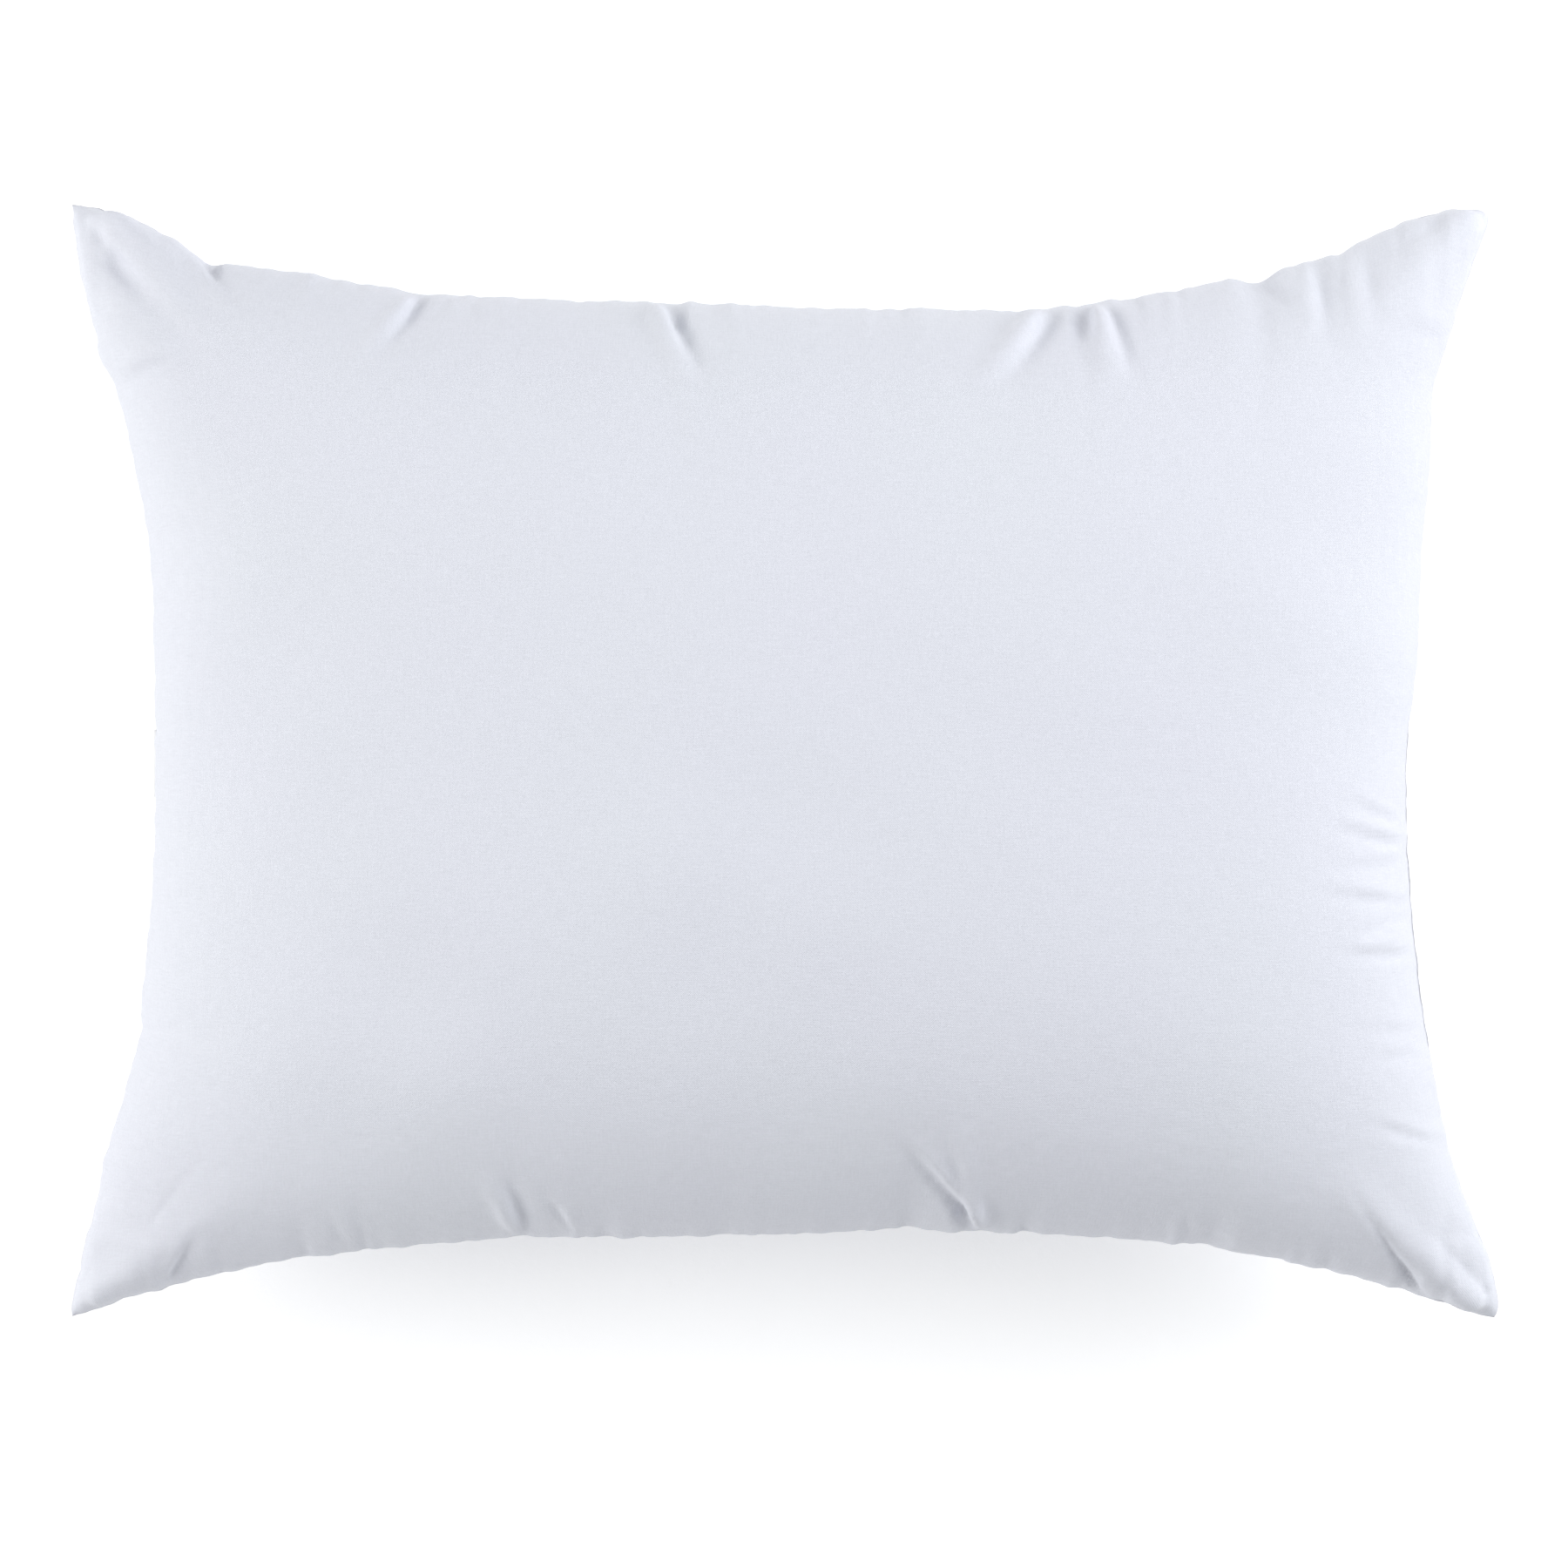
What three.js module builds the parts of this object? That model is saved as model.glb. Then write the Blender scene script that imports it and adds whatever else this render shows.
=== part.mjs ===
// A bed pillow lying on its back: two cloth panels sewn edge to edge, loose fill inside them,
// the threads that hold the seam, and a small care label caught in the left side seam.
// Units are millimetres. X runs along the long sides, Y along the short sides, Z is up,
// and the origin is the middle of the flat patch that the pillow rests on.
import * as THREE from 'three';

// Outline of the seam, seen from above.
const cornerSpanX = 640; // corner tip to corner tip along the long sides
const cornerSpanY = 502; // corner tip to corner tip along the short sides
const waistX = 560; // across the middle, from one short side to the other
const waistY = 414; // across the middle, from one long side to the other
const longSidePower = 3; // how late a long side turns out into its corners
const shortSidePower = 2; // the same for a short side

// Height of the stuffed form.
const seamHeight = 90; // seam above the surface that the pillow rests on
const crownHeight = 105; // top of the front panel above the seam
const backDepth = 104; // how far the back panel would hang below the seam if nothing flattened it
const fullness = 3; // 2 is an ellipse in section, more is squarer
const edgePower = 0.55; // how steeply a panel leaves the seam

// Cloth and sewing.
const clothWall = 1; // the real ticking is about 0.3, too thin for a solid
const seamAllowance = 10; // cloth turned in behind the seam
const wedgePower = 8; // how soon that cloth thins out above and below the seam
const seamThread = 0.7; // thickness of the sewing thread
const seamInset = 1; // seam thread behind the edge
const closingInset = 3; // closing row behind the edge
const clearance = 0.3; // between pieces that touch
const fillClearance = 1; // between the cloth and the fill
const emptyTip = 30; // how much further the fill stays back from a corner tip
const openingLength = 150; // slot in the right side that the fill goes in through
const openingCentre = -52; // middle of that slot along Y

// Care label.
const labelWidth = 30; // along the seam
const labelLength = 45; // from the seam to the free end
const labelThickness = 0.8; // two layers of folded ribbon

// Fineness of the meshes.
const panelCells = [24, 18];
const fillCells = [18, 14];
const strandSides = 6;
const strandStep = 26; // length of one straight piece of a strand

const seamGap = seamThread + 2 * clearance; // between the two panels at the seam
const seamRise = seamGap / 2; // each panel's edge above or below the middle of the seam
const overlockInset = seamAllowance; // the raw edges end here
const fillInset = overlockInset + seamThread + fillClearance;
const fillTipInset = fillInset + emptyTip;

// Even steps from -1 to 1 drawn towards both ends, where the form curves most.
function drawnToEnds(t) {
  return 0.5 * t + 0.5 * Math.sin((t * Math.PI) / 2);
}

// A point of the outline's own square, u and v from -1 to 1, laid out in the plane.
// Each side dips towards the middle of the pillow, and the four corners stand out.
// inset moves the middle of each side in, and tipInset moves the corner tips in.
function planePoint(u, v, inset, tipInset = inset) {
  const towardsTipX = Math.abs(v) ** shortSidePower;
  const towardsTipY = Math.abs(u) ** longSidePower;
  const halfX = THREE.MathUtils.lerp(waistX / 2 - inset, cornerSpanX / 2 - tipInset, towardsTipX);
  const halfY = THREE.MathUtils.lerp(waistY / 2 - inset, cornerSpanY / 2 - tipInset, towardsTipY);
  return new THREE.Vector2(u * halfX, v * halfY);
}

// Share of the full height at a place on the square: 1 in the middle and 0 all round the seam.
function swell(u, v) {
  const acrossX = Math.max(0, 1 - Math.abs(u) ** fullness) ** edgePower;
  const acrossY = Math.max(0, 1 - Math.abs(v) ** fullness) ** edgePower;
  return acrossX * acrossY;
}

// A point of the front form. The insets move the outline in, and drop lowers the crown.
function frontPoint(u, v, rise, drop = 0, inset = drop, tipInset = inset) {
  const plane = planePoint(u, v, inset, tipInset);
  const z = seamHeight + rise + (crownHeight - rise - drop) * swell(u, v);
  return new THREE.Vector3(plane.x, plane.y, z);
}

// A point of the back form, which is flat where it rests. lift raises its lowest part.
function backPoint(u, v, rise, lift = 0, inset = lift, tipInset = inset) {
  const plane = planePoint(u, v, inset, tipInset);
  const hanging = seamHeight - rise - (backDepth - rise - lift) * swell(u, v);
  return new THREE.Vector3(plane.x, plane.y, Math.max(lift, hanging));
}

// A closed form made from a flat box of cells: its upper face takes one surface,
// its lower face the other, and its narrow sides join the two.
function formBetween(cells, upper, lower) {
  const geometry = new THREE.BoxGeometry(2, 2, 2, cells[0], cells[1], 1);
  const position = geometry.attributes.position;
  for (let i = 0; i < position.count; i += 1) {
    const u = drawnToEnds(position.getX(i));
    const v = drawnToEnds(position.getY(i));
    const point = position.getZ(i) > 0 ? upper(u, v) : lower(u, v);
    position.setXYZ(i, point.x, point.y, point.z);
  }
  return geometry;
}

// The seam line as one closed path. Whole turns of t are corners: 0 to 1 is the right side going
// up, 1 to 2 the top going left, 2 to 3 the left side going down and 3 to 4 the bottom going right.
function seamPoint(t, inset) {
  const turn = ((t % 4) + 4) % 4;
  const along = 2 * (turn % 1) - 1;
  const corners = [
    [1, along],
    [-along, 1],
    [-1, -along],
    [along, -1],
  ];
  const [u, v] = corners[Math.floor(turn)];
  return planePoint(u, v, inset);
}

// A place on the right side, given as a distance along Y, as a place on the seam path.
function onRightSide(y) {
  return (1 + y / (cornerSpanY / 2)) / 2;
}

// How far the inner face of the cloth lies behind the outer one. The cloth turned in behind
// the seam makes a wedge there, which thins to a single layer as the panel rises from the seam.
function layerDepth(u, v) {
  return THREE.MathUtils.lerp(clothWall, seamAllowance, (1 - swell(u, v)) ** wedgePower);
}

function frontPanel() {
  const outside = (u, v) => frontPoint(u, v, seamRise);
  const inside = (u, v) => frontPoint(u, v, seamRise, clothWall, layerDepth(u, v));
  return formBetween(panelCells, outside, inside);
}

function backPanel() {
  const outside = (u, v) => backPoint(u, v, seamRise);
  const inside = (u, v) => backPoint(u, v, seamRise, clothWall, layerDepth(u, v));
  return formBetween(panelCells, inside, outside);
}

// The fill is a smaller form of the same outline, clear of the cloth all over.
// It doesn't reach into the corner tips, which stay empty and thin.
function fillBody() {
  const drop = clothWall + fillClearance;
  const top = (u, v) => frontPoint(u, v, clothWall, drop, fillInset, fillTipInset);
  const bottom = (u, v) => backPoint(u, v, clothWall, drop, fillInset, fillTipInset);
  return formBetween(fillCells, top, bottom);
}

// A round strand of thread along the seam path, midway between the panels.
function strand(from, to, inset) {
  const steps = Math.ceil(((to - from) * (cornerSpanX + cornerSpanY)) / 2 / strandStep);
  const route = [];
  for (let i = 0; i <= steps; i += 1) {
    const point = seamPoint(from + ((to - from) * i) / steps, inset);
    route.push(new THREE.Vector3(point.x, point.y, seamHeight));
  }
  const section = new THREE.Shape();
  section.absarc(0, 0, seamThread / 2, 0, 2 * Math.PI);
  return new THREE.ExtrudeGeometry(section, {
    steps,
    curveSegments: strandSides / 2,
    extrudePath: new THREE.CatmullRomCurve3(route),
  });
}

// The flap of the care label hangs from the seam by its top edge.
function careLabel() {
  return new THREE.BoxGeometry(labelThickness, labelWidth, labelLength);
}

const openingStart = onRightSide(openingCentre - openingLength / 2);
const openingEnd = onRightSide(openingCentre + openingLength / 2);

const whiteCotton = { color: 0xf3f4f8, roughness: 0.85, metalness: 0 };
const whiteFibre = { color: 0xfafafa, roughness: 1, metalness: 0 };
const whiteThread = { color: 0xf0f0f2, roughness: 0.6, metalness: 0 };
const whiteRibbon = { color: 0xf6f6f6, roughness: 0.5, metalness: 0 };

const pillow = new THREE.Group();

function addPiece(name, geometry, finish) {
  const piece = new THREE.Mesh(geometry, new THREE.MeshStandardMaterial(finish));
  piece.name = name;
  pillow.add(piece);
  return piece;
}

addPiece('front_panel', frontPanel(), whiteCotton);
addPiece('back_panel', backPanel(), whiteCotton);
addPiece('fill', fillBody(), whiteFibre);
addPiece('seam_thread', strand(openingEnd, openingStart + 4, seamInset), whiteThread);
addPiece('overlock_thread', strand(openingEnd, openingStart + 4, overlockInset), whiteThread);
addPiece('closing_thread', strand(openingStart, openingEnd, closingInset), whiteThread);

// The side pulls in towards its middle, so the seam comes closest to the label at the label's ends.
// The edge is drawn straight along the cell beside the middle, and the label clears that line.
const cellEnd = drawnToEnds(2 / panelCells[1]);
const labelEnd = labelWidth / cornerSpanY;
const edgeAtMiddle = planePoint(-1, 0, 0).x;
const edgeAtCellEnd = planePoint(-1, cellEnd, 0).x;
const edgeBesideLabel = THREE.MathUtils.lerp(edgeAtMiddle, edgeAtCellEnd, labelEnd / cellEnd);
const label = addPiece('care_label', careLabel(), whiteRibbon);
label.position.x = edgeBesideLabel - clearance - labelThickness / 2;
label.position.z = seamHeight - labelLength / 2;

export default pillow;
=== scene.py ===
# A white bed pillow lying on its back on a plain pale floor, seen from straight above.
import bpy
import numpy as np
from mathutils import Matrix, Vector


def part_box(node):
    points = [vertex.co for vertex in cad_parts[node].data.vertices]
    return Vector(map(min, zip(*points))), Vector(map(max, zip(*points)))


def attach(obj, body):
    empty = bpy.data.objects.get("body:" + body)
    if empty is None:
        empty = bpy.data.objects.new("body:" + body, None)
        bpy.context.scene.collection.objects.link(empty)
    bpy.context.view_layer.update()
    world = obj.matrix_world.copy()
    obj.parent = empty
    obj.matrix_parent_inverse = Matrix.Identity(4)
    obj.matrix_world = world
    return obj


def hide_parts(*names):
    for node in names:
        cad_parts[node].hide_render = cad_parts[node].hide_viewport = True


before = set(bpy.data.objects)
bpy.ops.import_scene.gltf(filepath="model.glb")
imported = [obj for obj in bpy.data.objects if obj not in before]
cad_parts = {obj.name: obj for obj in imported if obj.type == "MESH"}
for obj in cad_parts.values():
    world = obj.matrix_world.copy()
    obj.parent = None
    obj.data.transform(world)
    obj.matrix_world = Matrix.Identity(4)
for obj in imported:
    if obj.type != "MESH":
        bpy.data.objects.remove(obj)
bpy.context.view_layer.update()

print("frame loaded:", len(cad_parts), "nodes")

mm = 0.001
panelLow, panelHigh = (np.array(corner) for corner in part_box("front_panel"))
labelLow, labelHigh = (np.array(corner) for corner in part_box("care_label"))
openingLow, openingHigh = (corner[1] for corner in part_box("closing_thread"))
seamZ = float(panelLow[2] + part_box("back_panel")[1][2]) / 2
halfSpan = (panelHigh - panelLow)[:2] / 2    # corner tips, along the long and the short side

# The camera looks straight down, with the long sides across the view.
camera = {
    "aim": (0.8 * mm, -9.3 * mm),     # where the view is centred on the seam's plane
    "across": 702 * mm,               # how much of that plane the square view takes in
    "distance": 2.4,                  # from the camera to the seam
    "sensor": 36.0,
}


def addCamera():
    data = bpy.data.cameras.new("camera")
    data.sensor_width = camera["sensor"]
    data.lens = camera["sensor"] * camera["distance"] / camera["across"]
    data.clip_start, data.clip_end = 0.05, 20.0
    holder = bpy.data.objects.new("camera", data)
    holder.location = (*camera["aim"], seamZ + camera["distance"])
    bpy.context.collection.objects.link(holder)
    bpy.context.scene.camera = holder


addCamera()
print("camera placed")

# The stuffed form, in millimetres where it isn't a share.
form = {
    "waist": (560, 414),              # across the middle: between the short sides, between the long
    "crown": 104,                     # front panel above the seam, before the cloth settles
    "depth": 98,                      # back panel below it, before the floor flattens it
    "fullness": 3.0,                  # 2 is an ellipse in section, more is squarer
    "edgePower": 0.55,                # how steeply a panel leaves the seam
    "sidePower": (3.0, 2.0),          # how late a long and a short side turn out into the corners
    "tipDroop": 6,                    # the empty corner tips hang a little
    "softFloor": 2.5,                 # how softly the back panel turns onto the floor
    "flat": (660, 508),               # the cut of each panel between its seams
    "cells": (142, 106),              # simulated cloth cells along the long and the short side
    "finer": (3, 2),                  # lines drawn to each of those cells
    "gathersRise": (8, 42),           # gathers fade in between these heights above the seam
    "earsRise": (-1, 8),              # and the folds of the ears between these
}

# Each corner tip: right or left, top or bottom, how far its point is moved out, how blunt it is.
cornerTips = [
    (-1, 1, (0.5, 1.5), 1.0),
    (1, 1, (3.0, 2.5), 6.5),
    (1, -1, (3.0, 1.5), 2.5),
    (-1, -1, (1.0, -0.5), 1.5),
]

# Where the seam strays from its even curve: side, place along it, half width and push outwards.
seamStrays = [
    ("top", -294, 20, 4.2), ("top", -256, 9, -5.5), ("top", -238, 12, -2.0),
    ("top", -155, 35, -1.6), ("top", 35, 60, -3.8), ("top", 108, 34, -5.0),
    ("top", 160, 30, -3.0), ("top", 212, 8, -4.2), ("top", 282, 30, 6.9), ("top", 133, 4, -1.4),
    ("top", -161, 5, -1.2), ("top", -49, 5, -1.2), ("top", 249, 4, -1.2), ("top", -90, 25, -1.0),
    ("bottom", -60, 70, 5.0), ("bottom", -165, 45, 2.8), ("bottom", 12, 26, 1.6),
    ("bottom", 120, 90, 1.6), ("bottom", 76, 7, 1.4), ("bottom", 57, 7, -1.2),
    ("bottom", 250, 50, 1.2), ("bottom", -240, 40, 1.2), ("bottom", -117, 5, -1.2),
    ("bottom", -197, 6, 0.9), ("bottom", 188, 8, -1.4),
    ("left", 208, 30, 5.0), ("left", 181, 9, 3.5), ("left", 98, 36, -2.6), ("left", 0, 30, 0.6),
    ("left", -215, 40, 3.2), ("left", -172, 20, 3.0), ("left", -120, 12, -1.9),
    ("right", -224, 32, 5.2), ("right", 52, 36, 3.0), ("right", 168, 26, -5.4),
    ("right", 212, 24, -2.6),
]

# Folds of the front panel, by side. Each starts on the seam at a place along the side and dies
# out at its reach, sliding along the side by its lean. Its groove has a half width and a depth,
# and a roll stands beside it: a positive ridge is on the side of the larger coordinate. A
# negative depth is a raised fold; without a ridge there is no roll.
frontFolds = {
    "top": [
        {"at": -159, "reach": 38, "lean": -20, "width": 3.6, "depth": 4.5, "ridge": -4.0},
        {"at": -147, "reach": 18, "lean": -8, "width": 2.5, "depth": 2.0, "ridge": 1.4},
        {"at": -137, "reach": 17, "lean": -1, "width": 2.5, "depth": 1.6, "ridge": 1.2},
        {"at": -51, "reach": 42, "lean": 19, "width": 3.6, "depth": 4.5, "ridge": -4.0},
        {"at": -58, "reach": 72, "lean": 27, "width": 4.5, "depth": -2.0},
        {"at": 123, "reach": 46, "lean": -27, "width": 5.0, "depth": 4.5, "ridge": -7.0},
        {"at": 134, "reach": 28, "lean": 1, "width": 4.6, "depth": 9.5},
        {"at": 137, "reach": 50, "lean": 8, "width": 6.0, "depth": -6.5},
        {"at": 144, "reach": 46, "lean": 10, "width": 3.2, "depth": 4.0},
        {"at": 214, "reach": 20, "lean": 6, "width": 3.0, "depth": 5.0, "ridge": 1.5},
        {"at": 230, "reach": 46, "lean": 3, "width": 4.5, "depth": -2.2},
        {"at": 238, "reach": 46, "lean": 1, "width": 4.0, "depth": 2.4},
        {"at": 250, "reach": 46, "lean": 4, "width": 4.5, "depth": -2.4},
        {"at": 259, "reach": 40, "lean": 2, "width": 3.5, "depth": 2.4},
    ],
    "bottom": [
        {"at": 84, "reach": 46, "lean": -38, "width": 3.6, "depth": 3.6, "ridge": 3.4},
        {"at": 82, "reach": 54, "lean": -15, "width": 3.6, "depth": 2.4, "ridge": 2.0},
        {"at": -113, "reach": 32, "lean": -9, "width": 3.8, "depth": 2.8, "ridge": -3.2},
        {"at": -94, "reach": 22, "lean": -12, "width": 2.5, "depth": 1.6, "ridge": 1.2},
        {"at": -194, "reach": 24, "lean": -8, "width": 3.0, "depth": 1.2, "ridge": 1.0},
        {"at": 182, "reach": 24, "lean": -8, "width": 3.0, "depth": 1.2, "ridge": 1.0},
    ],
    "right": [
        {"at": -27, "reach": 34, "lean": 11, "width": 1.9, "depth": 2.6, "ridge": 1.4},
        {"at": -36, "reach": 42, "lean": 8, "width": 2.1, "depth": 3.0, "ridge": 1.8},
        {"at": -43, "reach": 42, "lean": -4, "width": 2.0, "depth": 1.6, "ridge": 1.0},
        {"at": -62, "reach": 50, "lean": 5, "width": 2.2, "depth": 2.6, "ridge": 1.6},
        {"at": -69, "reach": 36, "lean": -9, "width": 2.0, "depth": 3.0, "ridge": -1.6},
        {"at": -85, "reach": 46, "lean": 2, "width": 2.1, "depth": 3.0, "ridge": 1.6},
        {"at": -118, "reach": 40, "lean": 1, "width": 2.2, "depth": 1.2, "ridge": 0.8},
        {"at": -130, "reach": 34, "lean": 0, "width": 2.2, "depth": 1.8, "ridge": 1.0},
        {"at": -169, "reach": 44, "lean": 12, "width": 1.9, "depth": 2.6, "ridge": 1.2},
        {"at": 188, "reach": 34, "lean": 4, "width": 4.5, "depth": 3.0, "ridge": 1.6},
    ],
    "left": [
        {"at": 168, "reach": 46, "lean": 16, "width": 5.0, "depth": 3.6, "ridge": 2.4},
        {"at": 101, "reach": 28, "lean": -3, "width": 2.2, "depth": 1.4, "ridge": 0.8},
        {"at": 81, "reach": 24, "lean": 2, "width": 2.2, "depth": 1.4, "ridge": 0.8},
        {"at": 17, "reach": 30, "lean": 2, "width": 2.2, "depth": 1.4, "ridge": 0.8},
        {"at": -60, "reach": 26, "lean": -2, "width": 2.4, "depth": 1.2, "ridge": 0.7},
        {"at": -121, "reach": 30, "lean": 4, "width": 2.6, "depth": 1.6, "ridge": 0.9},
    ],
}

# Folds of the back panel, which isn't seen from above: the same kind of gathers, spread about.
backFolds = {
    "top": [
        {"at": -190, "reach": 36, "lean": 14, "width": 5.0, "depth": 4.0, "ridge": 3.0},
        {"at": -70, "reach": 30, "lean": -10, "width": 4.5, "depth": 4.0, "ridge": -3.0},
        {"at": 60, "reach": 42, "lean": 12, "width": 5.0, "depth": 4.5, "ridge": 3.5},
        {"at": 180, "reach": 28, "lean": -10, "width": 4.5, "depth": 3.0, "ridge": 2.5},
    ],
    "bottom": [
        {"at": -150, "reach": 40, "lean": 12, "width": 5.0, "depth": 4.5, "ridge": -3.5},
        {"at": -20, "reach": 28, "lean": -8, "width": 4.5, "depth": 3.0, "ridge": 2.5},
        {"at": 120, "reach": 38, "lean": 12, "width": 5.0, "depth": 4.0, "ridge": -3.0},
    ],
    "right": [
        {"at": -30, "reach": 30, "lean": 6, "width": 3.0, "depth": 2.0, "ridge": 1.6},
        {"at": -52, "reach": 36, "lean": 3, "width": 3.0, "depth": 2.2, "ridge": 1.6},
        {"at": -80, "reach": 40, "lean": -4, "width": 3.5, "depth": 2.4, "ridge": 1.8},
    ],
    "left": [
        {"at": 60, "reach": 26, "lean": 6, "width": 4.0, "depth": 2.0, "ridge": 1.6},
    ],
}

# Straight folds of the front panel's corner ears, from one place on the plan to another. A
# negative depth is a raised ridge.
earFolds = [
    {"from": (-296, 222), "to": (-250, 174), "width": 9.0, "depth": 5.0},
    {"from": (-306, 245), "to": (-248, 184), "width": 6.5, "depth": -4.5},
    {"from": (-300, 245), "to": (-250, 206), "width": 4.5, "depth": -3.5},
    {"from": (-257, 222), "to": (-238, 203), "width": 3.0, "depth": 2.2, "ridge": 1.6},
    {"from": (311, 246), "to": (246, 180), "width": 11.0, "depth": -7.0},
    {"from": (316, -248), "to": (240, -180), "width": 8.0, "depth": -7.0},
    {"from": (290, -243), "to": (247, -184), "width": 1.8, "depth": 3.4},
    {"from": (-315, -243), "to": (-230, -184), "width": 9.0, "depth": -4.5},
    {"from": (-277, -201), "to": (-250, -167), "width": 2.2, "depth": 0.7},
    {"from": (-271, -227), "to": (-255, -203), "width": 2.4, "depth": 2.0, "ridge": 1.0},
]

cloth = {
    "frames": 16,
    "pressure": 4.0,
    "stiffness": 15.0,
    "shear": 5.0,
    "bending": 0.4,
    "mass": 0.1,
    "mostMove": 9 * mm,               # no point moves further than this
    "foldsBefore": 0.5,               # share of each fold's depth that is there before it settles
    "foldsAfter": 0.7,                # and the share drawn in after it
}


def smoothStep(t):
    # 0 to 1 with a level start and end
    t = np.clip(t, 0, 1)
    return t * t * (3 - 2 * t)


def fadedIn(value, between):
    # 0 below the first of two lengths in millimetres and 1 above the second
    low, high = (edge * mm for edge in between)
    return smoothStep((value - low) / (high - low))


def swellAlong(t):
    # share of the full height along one direction: 1 in the middle and 0 on the seam
    return np.maximum(0, 1 - np.abs(t) ** form["fullness"]) ** form["edgePower"]


def evenCloth(t, half, height):
    # turns even steps along the curved cloth into steps across the outline, by measuring
    # the arc of the middle section and reading it backwards
    across = np.linspace(0, 1, 2001)
    steps = np.hypot(np.diff(across * half), np.diff(height * swellAlong(across)))
    arc = np.concatenate([[0], np.cumsum(steps)])
    return np.sign(t) * np.interp(np.abs(t), arc / arc[-1], across)


def strayOutwards(side, along):
    # a sum of bell curves along one side
    push = np.zeros_like(along)
    for name, at, width, amount in seamStrays:
        if name == side:
            push += amount * mm * np.exp(-(((along - at * mm) / (width * mm)) ** 2))
    return push


def planOf(u, v):
    # lays the square -1 to 1 out in the plane: half the waist plus a share of the way out to
    # the corner tips that grows with a power of the other coordinate, then the strays and tips
    waistX, waistY = (w * mm / 2 for w in form["waist"])
    halfX = waistX + (halfSpan[0] - waistX) * np.abs(v) ** form["sidePower"][1]
    halfY = waistY + (halfSpan[1] - waistY) * np.abs(u) ** form["sidePower"][0]
    x, y = u * halfX, v * halfY
    endsX, endsY = 1 - np.abs(v) ** 50, 1 - np.abs(u) ** 50
    right, top = np.clip(u, 0, 1) ** 3 * endsX, np.clip(v, 0, 1) ** 3 * endsY
    left, bottom = np.clip(-u, 0, 1) ** 3 * endsX, np.clip(-v, 0, 1) ** 3 * endsY
    moveX = right * strayOutwards("right", y) - left * strayOutwards("left", y)
    moveY = top * strayOutwards("top", x) - bottom * strayOutwards("bottom", x)
    for signX, signY, out, blunt in cornerTips:
        near = np.clip(signX * u, 0, 1) * np.clip(signY * v, 0, 1)
        moveX += signX * mm * (out[0] * near**8 - blunt * near**40)
        moveY += signY * mm * (out[1] * near**8 - blunt * near**40)
    return x + moveX, y + moveY


def ridgeAndGroove(across, along, fold):
    # a bell-shaped groove that widens inwards, with a softer bell-shaped roll beside it, both
    # fading towards the far end
    width = fold["width"] * mm * (0.7 + 0.6 * np.clip(along, 0, 1))
    fade = np.clip(1 - along, 0, 1) ** 0.9 * (along > -0.35)
    ridge = fold.get("ridge", 0.0)
    side = np.sign(ridge) if ridge else 1
    groove = -fold["depth"] * mm * np.exp(-((across / width) ** 2))
    beside = (across - side * 1.7 * width) / (1.3 * width)
    roll = abs(ridge) * mm * np.exp(-(beside**2))
    return fade * (groove + roll)


def gatherHeight(x, y, folds):
    # height that the gathers of the four sides add along the surface normal, over the plan
    height = np.zeros_like(x)
    waistX, waistY = (w * mm / 2 for w in form["waist"])
    for side, gathers in folds.items():
        onLong, sign = side in ("top", "bottom"), 1 if side in ("top", "right") else -1
        along, depthwise = (x, sign * y) if onLong else (y, sign * x)
        half, span = (waistY, halfSpan[1]) if onLong else (waistX, halfSpan[0])
        power = form["sidePower"][0] if onLong else form["sidePower"][1]
        for fold in gathers:
            reachOut = abs(fold["at"] * mm) / (halfSpan[0] if onLong else halfSpan[1])
            edge = half + (span - half) * reachOut ** power
            inwards = (edge - depthwise) / (fold["reach"] * mm)
            centre = fold["at"] * mm + fold["lean"] * mm * np.clip(inwards, 0, 1) ** 1.3
            height += ridgeAndGroove(along - centre, inwards, fold)
    return height


def earHeight(x, y, folds):
    # the same for the straight folds of the corner ears
    height = np.zeros_like(x)
    for fold in folds:
        start, end = (np.array(fold[key]) * mm for key in ("from", "to"))
        run = end - start
        length = np.linalg.norm(run)
        along = ((x - start[0]) * run[0] + (y - start[1]) * run[1]) / length**2
        across = ((y - start[1]) * run[0] - (x - start[0]) * run[1]) / length
        spread = smoothStep(1 + 6 * along)
        side = np.sign(start[0] * start[1])
        height += ridgeAndGroove(across * side, np.clip(along, 0, None), fold) * spread
    return height


def gridNormals(points):
    # crossed differences of neighbours along the two directions of the grid
    alongU, alongV = np.gradient(points, axis=0), np.gradient(points, axis=1)
    normals = np.cross(alongU, alongV)
    return normals / np.maximum(np.linalg.norm(normals, axis=2, keepdims=True), 1e-12)


def startingSide(upwards, folds, ears):
    # One panel before it settles: the plan raised by the product of the two swells,
    # then pushed along its normals by the folds.
    facing = 1 if upwards else -1
    cellsU, cellsV = form["cells"]
    flatU, flatV = np.meshgrid(
        np.linspace(-1, 1, cellsU + 1), np.linspace(-1, 1, cellsV + 1), indexing="ij")
    height = (form["crown"] if upwards else form["depth"]) * mm
    evenU = evenCloth(flatU, form["waist"][0] * mm / 2, height)
    evenV = evenCloth(flatV, form["waist"][1] * mm / 2, height)
    u = flatU + (evenU - flatU) * swellAlong(evenV)
    v = flatV + (evenV - flatV) * swellAlong(evenU)
    x, y = planOf(u, v)
    seam = seamZ - form["tipDroop"] * mm * (np.abs(u) * np.abs(v)) ** 6
    swell = swellAlong(u) * swellAlong(v)
    points = np.stack([x, y, seam + height * swell * facing], axis=2)
    return withFolds(points, facing, folds, ears, cloth["foldsBefore"])


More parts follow.
